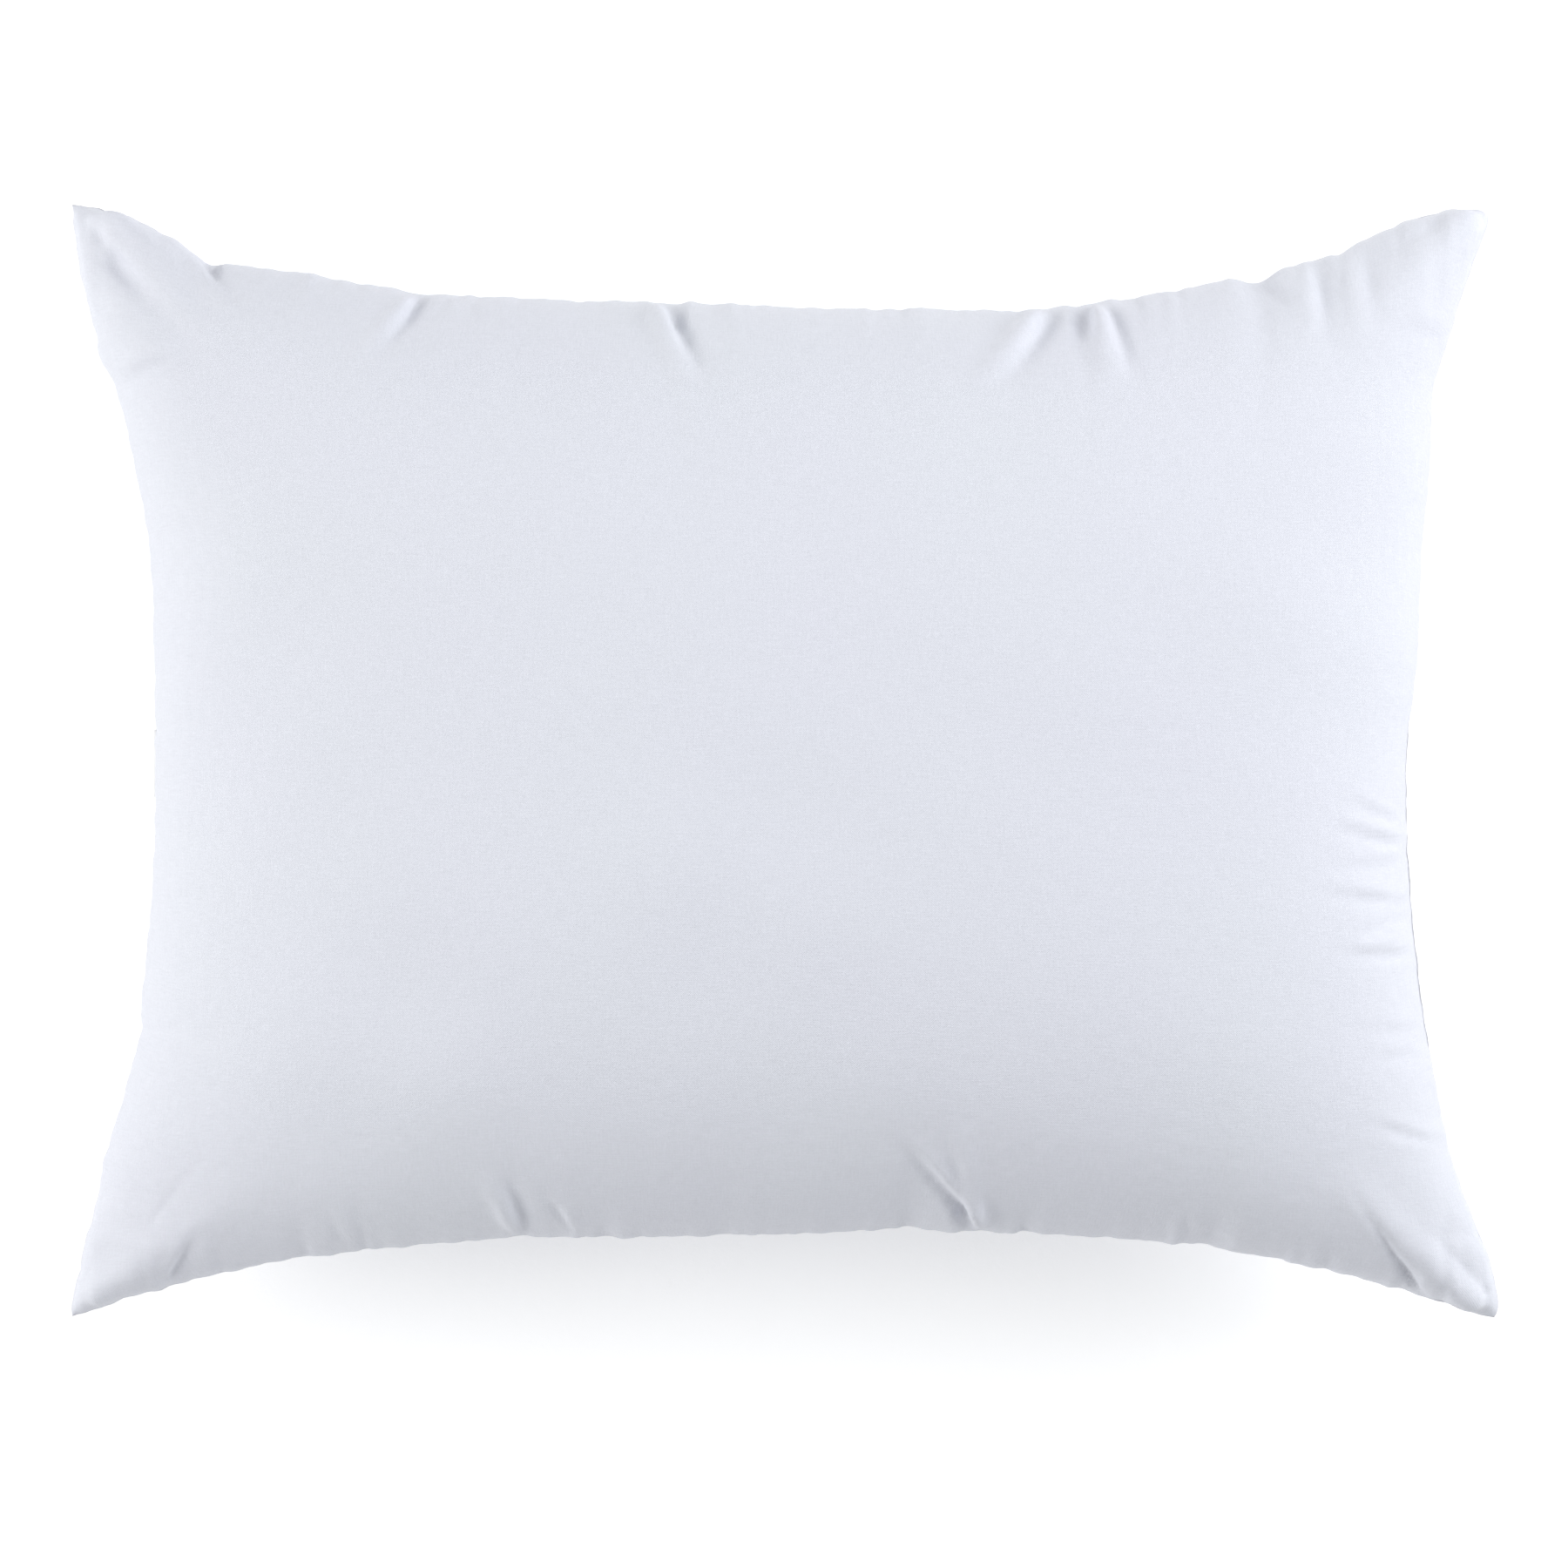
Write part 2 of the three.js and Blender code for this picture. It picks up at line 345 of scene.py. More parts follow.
def withFolds(points, facing, folds, ears, share):
    # pushes the panel along its normals by the folds: gathers only show above the steep side
    # walls, the folds of the ears nearly from the seam
    x, y, risen = points[..., 0], points[..., 1], facing * (points[..., 2] - seamZ)
    lift = gatherHeight(x, y, folds) * fadedIn(risen, form["gathersRise"])
    lift += earHeight(x, y, ears) * fadedIn(risen, form["earsRise"])
    return points + gridNormals(points) * (facing * share * lift)[..., None]


def quadsOf(ids, flip=False):
    # the four corners of each cell of a grid of point numbers
    corners = np.stack([ids[:-1, :-1], ids[1:, :-1], ids[1:, 1:], ids[:-1, 1:]], axis=2)
    corners = corners.reshape(-1, 4)
    return corners[:, ::-1] if flip else corners


def makeMesh(name, points, faces, uv=None):
    # an object at the origin; faces are an array, or a list where they differ in corners
    mesh = bpy.data.meshes.new(name)
    faces = faces if isinstance(faces, list) else faces.tolist()
    mesh.from_pydata(points.reshape(-1, 3).tolist(), [], faces)
    if uv is not None:
        corner = np.empty(len(mesh.loops), np.int32)
        mesh.loops.foreach_get("vertex_index", corner)
        layer = mesh.uv_layers.new(name="weave")
        layer.data.foreach_set("uv", uv.reshape(-1, 2)[corner].ravel().astype(np.float32))
    mesh.shade_smooth()
    piece = bpy.data.objects.new(name, mesh)
    bpy.context.collection.objects.link(piece)
    return piece


def joinedAtRim(upper, lower):
    # one closed bag from two grids that share the points of their rim
    rim = np.ones(upper.shape[:2], bool)
    rim[1:-1, 1:-1] = False
    upperIds = np.arange(rim.size).reshape(rim.shape)
    lowerIds = upperIds.copy()
    lowerIds[~rim] = rim.size + np.arange((~rim).sum())
    points = np.concatenate([upper.reshape(-1, 3), lower[~rim]])
    faces = np.concatenate([quadsOf(upperIds), quadsOf(lowerIds, flip=True)])
    return points, faces, upperIds, lowerIds


def settledBag(front, back):
    # Blender's cloth under gentle pressure, with the seam held, lets the folds relax into the form.
    points, faces, frontIds, backIds = joinedAtRim(front, back)
    bag = makeMesh("bag", points, faces)
    held = bag.vertex_groups.new(name="seam")
    held.add(frontIds[frontIds == backIds].tolist(), 1.0, "REPLACE")
    sim = bag.modifiers.new("cloth", "CLOTH")
    sim.settings.mass = cloth["mass"]
    sim.settings.tension_stiffness = sim.settings.compression_stiffness = cloth["stiffness"]
    sim.settings.shear_stiffness = cloth["shear"]
    sim.settings.bending_stiffness = cloth["bending"]
    sim.settings.use_pressure = True
    sim.settings.uniform_pressure_force = cloth["pressure"]
    sim.settings.vertex_group_mass = held.name
    sim.settings.effector_weights.gravity = 0
    sim.collision_settings.use_collision = False
    sim.point_cache.frame_start, sim.point_cache.frame_end = 1, cloth["frames"]
    for number in range(1, cloth["frames"] + 1):
        bpy.context.scene.frame_set(number)
    settled = bag.evaluated_get(bpy.context.evaluated_depsgraph_get()).to_mesh()
    moved = np.empty(len(points) * 3, np.float32)
    settled.vertices.foreach_get("co", moved)
    moved = moved.reshape(-1, 3).astype(float)
    bpy.data.objects.remove(bag, do_unlink=True)
    bpy.context.scene.frame_set(1)
    step = moved - points
    far = np.linalg.norm(step, axis=1, keepdims=True)
    moved = points + step * np.minimum(1, cloth["mostMove"] / np.maximum(far, 1e-9))
    print("cloth settled, furthest move", round(float(far.max()) / mm, 1), "mm")
    return moved[frontIds], moved[backIds]


def resampled(points, places, axis):
    # reads the grid between its lines with a cubic through the four nearest (Catmull-Rom)
    line = np.moveaxis(points, axis, 0)
    padded = np.concatenate([[2 * line[0] - line[1]], line, [2 * line[-1] - line[-2]]])
    first = np.minimum(places.astype(int), len(line) - 2)
    t = (places - first).reshape(-1, *[1] * (line.ndim - 1))
    a, b, c, d = (padded[first + k] for k in range(4))
    read = b + 0.5 * t * (c - a + t * (2 * a - 5 * b + 4 * c - d + t * (3 * (b - c) + d - a)))
    return np.moveaxis(read, 0, axis)


def fineLines(axis):
    # several lines to a cell, with extra ones close to both edges
    cells, step = form["cells"][axis], 1 / form["finer"][axis]
    edge = np.array([0, 0.08, 0.18]) * (2 if axis else 1.4)
    inner = np.arange(1, cells * form["finer"][axis]) * step
    clear = edge[-1] + 0.1
    inner = inner[(inner > clear) & (inner < cells - clear)]
    return np.concatenate([edge, inner, cells - edge[::-1]])


def refined(points):
    return resampled(resampled(points, fineLines(0), 0), fineLines(1), 1)


def onFloor(points):
    # a soft maximum of the height and 0, which flattens what would hang below the floor
    soft = form["softFloor"] * mm
    low = points[..., 2]
    points[..., 2] = np.where(low < 20 * soft, soft * np.logaddexp(0, low / soft), low)
    return points


# The seam and what it does to the cloth beside it, in millimetres. Waves are wave lengths.
seam = {
    "gap": 0.5,                       # between the two panels at the very edge
    "tuck": 0.9,                      # how deep the stitches pull the seam in
    "tuckReach": 2.2,                 # and how far from it the cloth is drawn
    "ripple": 0.4,                    # the edge's own small waves
    "pucker": 0.5,                    # height of the small gathers that the stitches cause
    "waves": (6.5, 8.9, 12.3, 17.0, 27.0),
    "reach": 14,                      # how far in a gather runs, besides its own length
    "strengthWaves": (61, 97),        # the gathers come and go along a side
    "reachWaves": (43, 71),
    "rightRise": (-20, 20),           # on the right they grow from above to below the middle
    "rippleWaves": (11, 19, 34),
    "gapReach": 1.5,                  # the panels part over this distance
    "lumps": 0.7,                     # slow unevenness of the filling under the cloth
    "lumpWaves": ((97, 173, 241), (89, 149, 211)),
    "lumpsFull": 50,                  # height above the seam where it is whole
    "calm": {"top": 1.0, "bottom": 1.0, "left": 0.8, "right": 0.55},   # share of the gathers
    "hem": (1.2, 3.5, 6.5, 10.0),     # rings of the turned-in cloth, in from the edge
    "hemGap": 0.12,                   # from the seam's plane to each hem
    "hemWave": 0.05,                  # and how uneven that is, over these waves
    "hemWaves": (21, 37),
    "flange": 1.5,                    # at the closed opening the two panels lie together this far
    "flangeLeast": 0.4,               # where it is narrower than this, it isn't laid flat
    "flangeGap": 0.05,                # between the seam's plane and each panel there
    "openingEnd": 14,                 # over which the flange runs out at each end of the opening
    "slideReach": 28,                 # how far in the cloth follows the flange
    "slideStrip": 90,                 # and where it is taken to lie still
    "crumpleReach": 38,               # how far from the seam the weave stays crumpled
}


def wander(along, waves, seed):
    # an uneven wave: sines of the given lengths with settled random phases and strengths
    phases = np.random.default_rng(seed).uniform(0, 2 * np.pi, len(waves))
    total = sum(np.sin(2 * np.pi * along / (wave * mm) + phase) for wave, phase in zip(waves, phases))
    return total / len(waves) ** 0.5


def arcAlong(line):
    # how far along a line of points each of them is
    return np.concatenate([[0], np.cumsum(np.linalg.norm(np.diff(line, axis=0), axis=1))])


def sideDistances(points):
    # distance from each side along the cloth, measured on the two middle lines of the grid
    arcU = arcAlong(points[:, points.shape[1] // 2])[:, None]
    arcV = arcAlong(points[points.shape[0] // 2])[None, :]
    flat = np.zeros(points.shape[:2])
    return {"left": arcU + flat, "right": arcU[-1] - arcU + flat,
            "bottom": arcV + flat, "top": arcV[:, -1:] - arcV + flat}


def openingShare(y):
    # 1 along the closed opening and 0 beyond its ends
    run = seam["openingEnd"] * mm
    return smoothStep((y - openingLow) / run + 0.5) * smoothStep((openingHigh - y) / run + 0.5)


def pinched(points, facing):
    # At the closed opening the cloth is held flat beside the edge: each grid line is slid inwards
    # by the width of the flange, less with distance, and what is left outside lies on the seam.
    arc = sideDistances(points)["right"]
    share = openingShare(points[-1, :, 1])[None, :] * seam["flange"] * mm
    rows = np.where(arc[:, 0] < seam["slideStrip"] * mm)[0]
    moved = points.copy()
    strip, inwards = points[rows], arc[rows]
    outwards = np.maximum(inwards - share, 0)
    slide = share * np.exp(-outwards / (seam["slideReach"] * mm))
    wanted = outwards + (inwards > share) * (share - slide)
    for k in range(3):
        moved[rows, :, k] = takeAlong(strip[..., k], inwards, wanted)
    moved[rows, :, 0] = np.where(
        inwards > share, moved[rows, :, 0] - slide, points[-1:, :, 0] - inwards)
    flat = seamZ + facing * seam["flangeGap"] * mm
    laid = (inwards <= share) & (share > seam["flangeLeast"] * mm)
    moved[rows, :, 2] = np.where(laid, flat, moved[rows, :, 2])
    return moved


def takeAlong(values, stations, wanted):
    # linear reading of each column at wanted distances; the stations fall along the first axis
    order = np.arange(values.shape[1])
    grid = stations[::-1, 0]
    place = np.clip(np.searchsorted(grid, wanted) - 1, 0, len(grid) - 2)
    t = (wanted - grid[place]) / (grid[place + 1] - grid[place])
    upside = values[::-1]
    return upside[place, order] * (1 - t) + upside[place + 1, order] * t


def besideSeam(points, facing, seed):
    # The seam's own marks: a tuck at the very edge, small waves of the edge, short gathers that
    # stand square to it and die out inwards, and the slow lumps of the filling.
    away = sideDistances(points)
    x, y = points[..., 0], points[..., 1]
    out = gridNormals(points) * facing
    height = np.zeros_like(x)
    nearSide = seam["reach"] * mm
    for number, (side, d) in enumerate(away.items()):
        along = x if side in ("top", "bottom") else y
        calm = seam["calm"][side]
        strength = calm * (0.6 + 0.4 * wander(along, seam["strengthWaves"], seed + 31 + number))
        if side == "right":
            strength = strength * (0.3 + 0.7 * fadedIn(-y, seam["rightRise"]))
        for k, wave in enumerate(seam["waves"]):
            uneven = 1.0 + 0.35 * wander(along, seam["reachWaves"], seed + 7 * k)
            reach = (nearSide + wave * mm) * uneven
            bump = np.sin(2 * np.pi * along / (wave * mm) + seed + 2.1 * k + 1.7 * number)
            shown = np.exp(-(d / reach) ** 1.5) * (0.35 + 0.65 * smoothStep(d / nearSide))
            height += 0.7 * seam["pucker"] * mm * (wave / 12) ** 0.6 * strength * bump * shown
        axis = 0 if side in ("left", "right") else 1
        sign = 1 if side in ("right", "top") else -1
        ripple = seam["ripple"] * mm * wander(along, seam["rippleWaves"], 90 + number) * calm
        tuck = seam["tuck"] * mm * np.exp(-(d / (seam["tuckReach"] * mm)) ** 2)
        points[..., axis] += sign * (ripple * np.exp(-d / nearSide) - tuck)
    wavesX, wavesY = seam["lumpWaves"]
    slow = wander(x + 0.35 * y, wavesX, seed) * wander(y - 0.45 * x, wavesY, seed + 1)
    risen = facing * (points[..., 2] - seamZ)
    height += seam["lumps"] * mm * slow * smoothStep(risen / (seam["lumpsFull"] * mm))
    points += out * height[..., None]
    lip = np.minimum.reduce(list(away.values()))
    parted = np.exp(-(lip / (seam["gapReach"] * mm)) ** 2)
    points[..., 2] += facing * seam["gap"] / 2 * mm * parted
    return points


def shapedPanel(points, facing, folds, ears, seed):
    # the settled panel with finer lines, the rest of its folds and the marks of the seam
    points = refined(points)
    points = withFolds(points, facing, folds, ears, cloth["foldsAfter"])
    points = pinched(points, facing)
    return besideSeam(points, facing, seed)


front, back = startingSide(True, frontFolds, earFolds), startingSide(False, backFolds, [])
front, back = settledBag(front, back)
front = shapedPanel(front, 1, frontFolds, earFolds, 5)
back = onFloor(shapedPanel(back, -1, backFolds, [], 17))
print("panels shaped", front.shape, "to", round(float(front[..., 2].max()) / mm, 1), "mm high")


def rimLoop(grid):
    # the edge of a grid, once round, anticlockwise from above
    return np.concatenate([grid[:-1, 0], grid[-1, :-1], grid[:0:-1, -1], grid[0, :0:-1]])


def sidewaysIn(loop, count, inset):
    # moves edge points in towards the middle of the pillow, square to their side and, close to
    # the corner tips, along the other direction too
    cellsU, cellsV = count
    number = np.arange(len(loop))
    onShort = ((number >= cellsU) & (number < cellsU + cellsV)) | (number >= 2 * cellsU + cellsV)
    u, v = np.abs(loop[:, 0]) / halfSpan[0], np.abs(loop[:, 1]) / halfSpan[1]
    moved = loop.copy()
    moved[:, 0] -= np.sign(loop[:, 0]) * inset * np.where(onShort, 1, np.clip(u, 0, 1) ** 16)
    moved[:, 1] -= np.sign(loop[:, 1]) * inset * np.where(onShort, np.clip(v, 0, 1) ** 16, 1)
    return moved


def addPanel(name, grid, facing):
    # the outer cloth, carried on past the seam by the rings of its turned-in hem
    ids = np.arange(grid[..., 0].size).reshape(grid.shape[:2])
    cells = (grid.shape[0] - 1, grid.shape[1] - 1)
    flatU, flatV = ((fineLines(axis) / form["cells"][axis] - 0.5) * form["flat"][axis] * mm
                    for axis in (0, 1))
    uv = np.stack(np.meshgrid(flatU, flatV, indexing="ij"), axis=2)
    points, faces, uvs = [grid.reshape(-1, 3)], [quadsOf(ids, flip=facing < 0)], [uv.reshape(-1, 2)]
    loop, loopUv, previous = rimLoop(grid), rimLoop(uv), rimLoop(ids)
    for number, inset in enumerate(seam["hem"]):
        ring = sidewaysIn(loop, cells, inset * mm)
        wave = wander(loop[:, 0] + loop[:, 1], seam["hemWaves"], 60 + number) * (number > 0)
        ring[:, 2] = loop[:, 2] + facing * (seam["hemGap"] + seam["hemWave"] * wave) * mm
        current = ids.size + number * len(loop) + np.arange(len(loop))
        ahead, currentAhead = np.roll(previous, -1), np.roll(current, -1)
        strip = np.stack([ahead, previous, current, currentAhead], axis=1)
        faces.append(strip if facing > 0 else strip[:, ::-1])
        points.append(ring)
        outwards = np.maximum(np.linalg.norm(loopUv, axis=1, keepdims=True), 0.2)
        uvs.append(loopUv * (1 + inset * mm / outwards))
        previous = current
    panel = makeMesh(name, np.concatenate(points), np.concatenate(faces), np.concatenate(uvs))
    nearSeam = panel.data.attributes.new("nearSeam", "FLOAT", "POINT")
    away = np.minimum.reduce(list(sideDistances(grid).values()))
    onPanel = np.exp(-away.ravel() / (seam["crumpleReach"] * mm))
    share = np.concatenate([onPanel, np.ones(len(loop) * len(seam["hem"]))])
    nearSeam.data.foreach_set("value", share.astype(np.float32))
    return panel


frontPanel = addPanel("front_panel_cloth", front, 1)
backPanel = addPanel("back_panel_cloth", back, -1)
print("panels made,", len(frontPanel.data.polygons) + len(backPanel.data.polygons), "faces")

# The stuffing: a lumpy mass just inside the cloth that stops short of the empty corner tips.
stuffing = {
    "inside": 3.5,                    # below the cloth
    "sides": 13.0,                    # in from the seam
    "tips": 24.0,                     # further in along each direction at a corner
    "lump": 1.6,                      # how lumpy it is, over these waves
    "lumpWaves": (19, 31, 47),
    "lumpsFull": 30,                  # height above the seam where the lumps are whole
    "every": 3,                       # it takes every third line of the panels
    "eroded": 2,                      # and the lowest height within two of those lines
}


def lowest(height, reach):
    # the lowest neighbour within reach, so that no fold of the cloth cuts into the stuffing
    for axis in (0, 1):
        shifts = [np.roll(height, k, axis) for k in range(-reach, reach + 1)]
        height = np.minimum.reduce(shifts)
    return height


def stuffingSide(grid, facing):
    # some lines of the panel, drawn in: heights eroded, then lowered and made lumpy
    part = grid[:-1:stuffing["every"], :-1:stuffing["every"]].copy()
    raised = facing * (part[..., 2] - seamZ)
    raised = np.maximum(lowest(raised, stuffing["eroded"]) - stuffing["inside"] * mm, 0)
    x, y = part[..., 0], part[..., 1]
    u, v = np.clip(np.abs(x) / halfSpan[0], 0, 1), np.clip(np.abs(y) / halfSpan[1], 0, 1)
    tips = stuffing["tips"] * mm * u**6 * v**6
    x = x * (1 - stuffing["sides"] * mm / halfSpan[0]) - np.sign(x) * tips
    y = y * (1 - stuffing["sides"] * mm / halfSpan[1]) - np.sign(y) * tips
    waves, full = stuffing["lumpWaves"], stuffing["lumpsFull"] * mm
    lumps = wander(x + 0.3 * y, waves, 3) * wander(y - 0.5 * x, waves, 4)
    raised += stuffing["lump"] * mm * (lumps - 1) * smoothStep(raised / full)
    raised = np.maximum(raised, 0)
    return np.stack([x, y, seamZ + facing * raised], axis=2)


def addStuffing():
    # both sides joined along one rim at the height of the seam
    top, bottom = stuffingSide(front, 1), stuffingSide(back, -1)
    for edge in (np.s_[0], np.s_[-1], np.s_[:, 0], np.s_[:, -1]):
        top[edge][..., 2] = seamZ
    bottom[..., 2] = np.minimum(bottom[..., 2], top[..., 2])
    points, faces, *_ = joinedAtRim(top, bottom)
    return makeMesh("fibre_fill", points, faces)


fibreFill = addStuffing()
print("stuffing made,", len(fibreFill.data.polygons), "faces")

# Threads, in millimetres; samples are the points drawn to a stitch.
threads = {
    "seam": {"radius": 0.16, "stitch": 2.6, "samples": 6, "inset": 0.7, "swing": 0.42,
             "sway": 0.25, "sharp": 2.5},
    "overlock": {"radius": 0.14, "stitch": 4.0, "samples": 12, "inset": 8.2, "swing": 0.9,
                 "reach": 2.2},
    "closing": {"radius": 0.18, "stitch": 3.0, "samples": 10, "inset": 0.9, "above": 0.72,
                "dip": 0.45},
}


def strand(path, radius, sides=5):
    # sweeps a ring of points along the path, square to its run, with a cap at each end
    run = np.gradient(path, axis=0)
    run /= np.maximum(np.linalg.norm(run, axis=1, keepdims=True), 1e-12)
    across = np.cross(run, np.array([0.03, 0.05, 1.0]))   # nearly upright, and never along a run
    across /= np.maximum(np.linalg.norm(across, axis=1, keepdims=True), 1e-12)
    up = np.cross(across, run)
    turn = np.linspace(0, 2 * np.pi, sides, endpoint=False)[None, :, None]
    rings = path[:, None] + radius * (np.cos(turn) * across[:, None] + np.sin(turn) * up[:, None])
    ids = np.arange(len(path) * sides).reshape(len(path), sides)
    around = quadsOf(np.concatenate([ids, ids[:, :1]], axis=1))
    return rings.reshape(-1, 3), around, (ids[0], ids[-1, ::-1])


def addStrands(name, paths, radius):
    # one piece from one or two strands
    points, faces, start = [], [], 0
    for path in paths:
        rings, sides, caps = strand(path, radius)
        points.append(rings)
        faces += (sides + start).tolist() + [(cap + start).tolist() for cap in caps]
        start += len(rings)
    return makeMesh(name, np.concatenate(points), faces)


def alongRim(inset, step):
    # even steps along the edge at an inset, from the opening's upper end round to its lower end
    cells = (front.shape[0] - 1, front.shape[1] - 1)
    middle = (rimLoop(front) + rimLoop(back)) / 2
    line = sidewaysIn(middle, cells, inset)
    rightSide = middle[cells[0]:cells[0] + cells[1], 1]
    shift = cells[0] + int(np.argmin(np.abs(rightSide - openingHigh)))
    line = np.roll(line, -shift, axis=0)
    last = len(line) - 1 - int(np.argmin(np.abs(line[::-1][:cells[1], 1] - openingLow)))
    line = line[:last + 1]
    arc = arcAlong(line)
    even = np.linspace(0, arc[-1], int(arc[-1] / step))
    return np.stack([np.interp(even, arc, line[:, k]) for k in range(3)], axis=1), even


def outwardsAlong(path):
    # level direction square to the path, pointing out of the pillow
    run = np.gradient(path, axis=0)
    out = np.stack([run[:, 1], -run[:, 0], np.zeros(len(path))], axis=1)
    return out / np.maximum(np.linalg.norm(out, axis=1, keepdims=True), 1e-12)


def addSeamThread():
    # the stitches swing from one panel to the other once per stitch
    size = threads["seam"]
    path, even = alongRim(size["inset"] * mm, size["stitch"] * mm / size["samples"])
    phase = np.pi * even / (size["stitch"] * mm)
    path[:, 2] += size["swing"] * mm * np.tanh(size["sharp"] * np.sin(phase)) / np.tanh(size["sharp"])
    path += outwardsAlong(path) * (size["sway"] * mm * np.cos(2 * phase))[:, None]
    return addStrands("seam_stitches", [path], size["radius"] * mm)


def addOverlockThread():
    # a flat coil wrapped round the raw edges of both hems
    size = threads["overlock"]
    path, even = alongRim(size["inset"] * mm, size["stitch"] * mm / size["samples"])
    phase = 2 * np.pi * even / (size["stitch"] * mm)
    path[:, 2] += size["swing"] * mm * np.sin(phase)
    path += outwardsAlong(path) * (size["reach"] * mm * np.cos(phase))[:, None]
    return addStrands("overlock_loops", [path], size["radius"] * mm)


def addClosingThread():
    # one thread above the flange and one below, each dipping into the same holes
    size = threads["closing"]
    y = np.arange(openingLow, openingHigh, size["stitch"] * mm / size["samples"])
    edge = front[-1]
    x = np.interp(y, edge[:, 1], edge[:, 0]) - size["inset"] * mm
    phase = np.pi * (y - openingLow) / (size["stitch"] * mm)
    lift = size["above"] + size["dip"] * (np.abs(np.sin(phase)) ** 0.5 - 1)
    paths = [np.stack([x, y, seamZ + facing * mm * lift], axis=1) for facing in (1, -1)]
    return addStrands("closing_stitches", paths, size["radius"] * mm)


seamStitches, overlockLoops = addSeamThread(), addOverlockThread()
closingStitches = addClosingThread()
print("threads made")

# The care label: a blank ribbon folded in half, both its ends caught in the seam.
ribbon = {
    "thick": 0.22 * mm,
    "apart": 0.32 * mm,               # between the middles of the two layers at the seam
    "belly": 0.5 * mm,                # how much the layers part half way down
    "bow": 0.35 * mm,                 # the ribbon isn't quite flat across
    "caught": 1.2 * mm,               # the ends that reach into the seam
    "spread": 0.25 * mm,              # and how far they turn apart there
    "steps": (35, 16),                # down one layer, and across
    "foldSteps": 7,
}


def addLabel():
    # A loop seen from its edge: out of the seam, down, round the fold and up again. Its layers
    # part by a half sine that is widest below the middle, and the fold is a half circle.
    middleX, length = (labelLow[0] + labelHigh[0]) / 2, labelHigh[2] - labelLow[2]
    half = ribbon["apart"] / 2
    down = np.linspace(0, 1, ribbon["steps"][0])
    gap = half + ribbon["belly"] * np.sin(np.pi * down**1.5) / 2
    turn = np.linspace(0, np.pi, ribbon["foldSteps"] + 2)[1:-1]
    foldZ = labelLow[2] + half
    z = labelHigh[2] + (foldZ - labelHigh[2]) * down
    inSeam = middleX + ribbon["caught"]
    x = np.concatenate([[inSeam - half], middleX - gap, middleX - half * np.cos(turn),
                        (middleX + gap)[::-1], [inSeam + half]])
    z = np.concatenate([[z[0] + ribbon["spread"]], z, foldZ - half * np.sin(turn),
                        z[::-1], [z[0] - ribbon["spread"]]])
    across = np.linspace(-1, 1, ribbon["steps"][1] + 1)
    y = (labelLow[1] + labelHigh[1]) / 2 + across * (labelHigh[1] - labelLow[1]) / 2
    drop = (labelHigh[2] - z) / length
    points = np.empty((len(x), len(y), 3))
    bowed = (1 - across**2)[None, :] * np.clip(drop, 0, 1)[:, None]
    points[..., 0] = x[:, None] - ribbon["bow"] * bowed
    points[..., 1] = y[None, :]
    points[..., 2] = z[:, None]
    arc = np.concatenate([[0], np.cumsum(np.hypot(np.diff(x), np.diff(z)))])
    uv = np.stack(np.meshgrid(arc, y, indexing="ij"), axis=2)
    ids = np.arange(len(x) * len(y)).reshape(len(x), len(y))
    label = makeMesh("care_ribbon", points, quadsOf(ids, flip=True), uv)
    body = label.modifiers.new("thickness", "SOLIDIFY")
    body.thickness, body.offset = ribbon["thick"], 0
    return label, float(arc[-1])


careLabel, ribbonLength = addLabel()
print("label made, ribbon", round(ribbonLength / mm, 1), "mm long")

for piece, node, slot, body in (
    (frontPanel, "front_panel", "ticking", "pillow"),
    (backPanel, "back_panel", "ticking", "pillow"),
    (fibreFill, "fill", "fill", "pillow"),
    (seamStitches, "seam_thread", "thread", "pillow"),
    (overlockLoops, "overlock_thread", "thread", "pillow"),
    (closingStitches, "closing_thread", "thread", "pillow"),
    (careLabel, "care_label", "label", "label"),
):
    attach(piece, body)
    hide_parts(node)
print("pieces ride on their bodies")


def linear(code):
    # an sRGB hex colour as linear red, green, blue and alpha
    parts = [int(code[i:i + 2], 16) / 255 for i in (0, 2, 4)]
    return [p / 12.92 if p <= 0.04045 else ((p + 0.055) / 1.055) ** 2.4 for p in parts] + [1.0]


def addNode(tree, kind, settings=None, links=None):
    # one shader node, with its settings by property or socket name and its links by socket name
    node = tree.nodes.new("ShaderNode" + kind)
    for name, value in (settings or {}).items():
        if isinstance(name, int) or name in node.inputs:
            node.inputs[name].default_value = value
        else:
            setattr(node, name, value)
    for name, source in (links or {}).items():
        tree.links.new(source, node.inputs[name])
    return node


def startMaterial(name, settings):
    # a material with one principled surface
    material = bpy.data.materials.new(name)
    material.use_nodes = True
    tree = material.node_tree
    tree.nodes.clear()
    surface = addNode(tree, "BsdfPrincipled", settings)
    addNode(tree, "OutputMaterial", {}, {"Surface": surface.outputs["BSDF"]})
    return material, tree, surface


def addBump(tree, surface, height, depth):
    # raises the surface by a height of 0 to 1 times the depth in millimetres
    bump = addNode(tree, "Bump", {"Distance": depth * mm}, {"Height": height})
    tree.links.new(bump.outputs["Normal"], surface.inputs["Normal"])


percale = {
    "shade": "dedfe9",                # bleached cotton with a trace of blue
    "other": "dee1e8",                # the tint it drifts to over a hand's breadth
    "period": 1.0,                    # mm; real percale repeats each 0.25 mm, drawn coarser to be seen
    "weaveDepth": 0.05,               # mm
    "slubDepth": 0.10,
    "crumpleDepth": 0.9,
}


